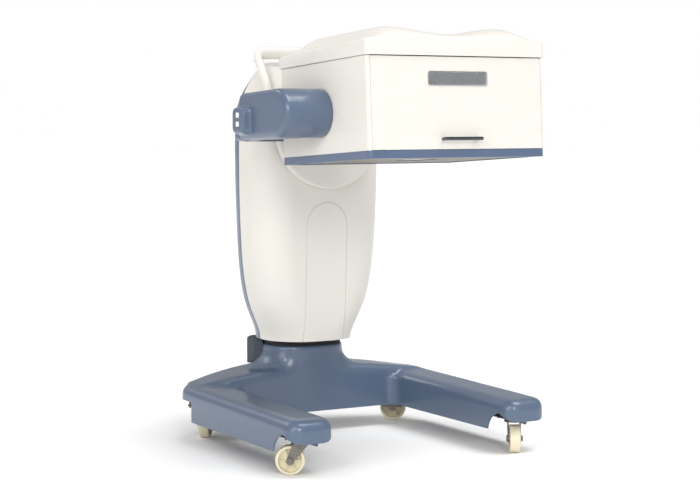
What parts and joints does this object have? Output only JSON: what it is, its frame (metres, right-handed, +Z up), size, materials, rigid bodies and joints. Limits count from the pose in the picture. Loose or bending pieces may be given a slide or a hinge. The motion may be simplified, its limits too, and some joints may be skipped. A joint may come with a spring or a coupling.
{
  "type": "column-stand eye-examination instrument",
  "caption": "White optical head on a tilting side arm, carried by a lifting column on a wide blue-grey U-shaped base with swivel castors.",
  "frame": {"origin": "on the floor under the middle of the whole outline", "axes": "+Z up, -Y the instrument's front, +X its left-right"},
  "size_m": [0.807, 0.9664, 1.1244],
  "materials": {
    "paint_blue": "satin blue-grey enamel",
    "dark_cover": "dark grey moulded",
    "shell_white": "warm white satin moulded",
    "handle_white": "white powder coat",
    "cap_cream": "cream moulded",
    "button_white": "white",
    "under_grey": "grey",
    "steel_frame": "black powder coat",
    "mast_alloy": "anodised",
    "steel_bright": "ground",
    "zinc_steel": "zinc plated",
    "nylon_wheel": "cream nylon",
    "rubber_black": "matt",
    "black_plastic": "matt",
    "alloy_case": "cast",
    "bronze_gear": "cut",
    "chrome_pull": "polished",
    "screw_dark": "blackened",
    "clear_glass": "clear",
    "board_green": "solder mask",
    "display_dark": "gloss"
  },
  "bodies": {
    "base": {"base_cover": "paint_blue", "base_frame": "steel_frame", "base_fasteners": "zinc_steel", "mast_foot": "steel_frame", "mast_inner": "mast_alloy", "neck_wiper": "rubber_black", "rear_neck_cover": "dark_cover", "power_inlet": "black_plastic", "actuator_rod": "steel_bright", "castor_plates": "zinc_steel"},
    "column": {"front_shell": "shell_white", "rear_cover": "paint_blue", "access_panel": "shell_white", "cover_caps": "cap_cream", "shell_ribs": "steel_frame", "mast_outer": "mast_alloy", "actuator_tube": "black_plastic", "actuator_motor": "black_plastic", "lift_controller": "alloy_case", "drum_housing": "steel_frame", "roll_bearings": "steel_bright", "push_handle": "handle_white"},
    "yoke": {"drum_disc": "shell_white", "roll_shaft": "steel_bright", "yoke_arm": "paint_blue", "tilt_bearings": "steel_bright", "pod_housing": "paint_blue", "tilt_motor": "black_plastic", "control_bezel": "paint_blue"},
    "worm": {"tilt_worm": "steel_bright"},
    "down_button": {"button_down": "button_white"},
    "up_button": {"button_up": "button_white"},
    "head": {"hood_body": "shell_white", "top_cover": "shell_white", "cover_screws": "screw_dark", "lower_rim": "paint_blue", "bottom_plate": "under_grey", "window_glass": "clear_glass", "tilt_shaft": "steel_bright", "tilt_wheel": "bronze_gear", "optics_bench": "steel_frame", "objective_barrel": "black_plastic", "objective_lens": "clear_glass", "led_ring": "black_plastic", "beam_splitter": "clear_glass", "sensor_camera": "black_plastic", "fixation_display": "display_dark", "main_board": "board_green", "door_hinge_pin": "steel_bright"},
    "door": {"front_door": "shell_white", "door_handle": "chrome_pull", "nameplate": "chrome_pull"},
    "castor_fl": {"castor_fork_fl": "zinc_steel"},
    "wheel_fl": {"castor_wheel_fl": "nylon_wheel"},
    "castor_fr": {"castor_fork_fr": "zinc_steel"},
    "wheel_fr": {"castor_wheel_fr": "nylon_wheel"},
    "castor_rl": {"castor_fork_rl": "zinc_steel"},
    "wheel_rl": {"castor_wheel_rl": "nylon_wheel"},
    "castor_rr": {"castor_fork_rr": "zinc_steel"},
    "wheel_rr": {"castor_wheel_rr": "nylon_wheel"}
  },
  "joints": [
    {"name": "column_lift", "type": "slide", "parent": "base", "child": "column", "axis": [0, 0, 1], "range_m": [0, 0.2]},
    {"name": "head_roll", "type": "hinge", "parent": "column", "child": "yoke", "pos_m": [0.0115, 0.20072, 0.862], "axis": [0, 1, 0], "range_deg": [-90, 90]},
    {"name": "head_tilt", "type": "hinge", "parent": "yoke", "child": "head", "pos_m": [-0.2485, -0.22478, 0.908], "axis": [1, 0, 0], "range_deg": [-26, 34]},
    {"name": "worm_spin", "type": "hinge", "parent": "yoke", "child": "worm", "pos_m": [-0.3195, -0.22478, 0.8695], "axis": [0, 1, 0], "range_deg": [-1100, 1400]},
    {"name": "door_open", "type": "hinge", "parent": "head", "child": "door", "pos_m": [0.0115, -0.4424, 1.04483], "axis": [1, 0, 0], "range_deg": [-95, 0]},
    {"name": "down_press", "type": "slide", "parent": "yoke", "child": "down_button", "axis": [1, 0, 0], "range_m": [0, 0.0015], "stiffness_N_per_m": 800},
    {"name": "up_press", "type": "slide", "parent": "yoke", "child": "up_button", "axis": [1, 0, 0], "range_m": [0, 0.0015], "stiffness_N_per_m": 800},
    {"name": "swivel_fl", "type": "hinge", "parent": "base", "child": "castor_fl", "pos_m": [-0.3155, -0.24278, 0.08], "axis": [0, 0, 1], "continuous": true},
    {"name": "roll_fl", "type": "hinge", "parent": "castor_fl", "child": "wheel_fl", "pos_m": [-0.33966, -0.22864, 0.0375], "axis": [-0.5051, -0.8631, 0], "continuous": true},
    {"name": "swivel_fr", "type": "hinge", "parent": "base", "child": "castor_fr", "pos_m": [0.3385, -0.24278, 0.08], "axis": [0, 0, 1], "continuous": true},
    {"name": "roll_fr", "type": "hinge", "parent": "castor_fr", "child": "wheel_fr", "pos_m": [0.32436, -0.26694, 0.0375], "axis": [0.8631, -0.5051, 0], "continuous": true},
    {"name": "swivel_rl", "type": "hinge", "parent": "base", "child": "castor_rl", "pos_m": [-0.3155, 0.32322, 0.08], "axis": [0, 0, 1], "continuous": true},
    {"name": "roll_rl", "type": "hinge", "parent": "castor_rl", "child": "wheel_rl", "pos_m": [-0.2987, 0.34562, 0.0375], "axis": [-0.8, 0.6, 0], "continuous": true},
    {"name": "swivel_rr", "type": "hinge", "parent": "base", "child": "castor_rr", "pos_m": [0.3385, 0.32322, 0.08], "axis": [0, 0, 1], "continuous": true},
    {"name": "roll_rr", "type": "hinge", "parent": "castor_rr", "child": "wheel_rr", "pos_m": [0.3161, 0.34002, 0.0375], "axis": [-0.6, -0.8, 0], "continuous": true}
  ],
  "couplings": [
    {"joint": "worm_spin", "follows": "head_tilt", "ratio": 40}
  ]
}
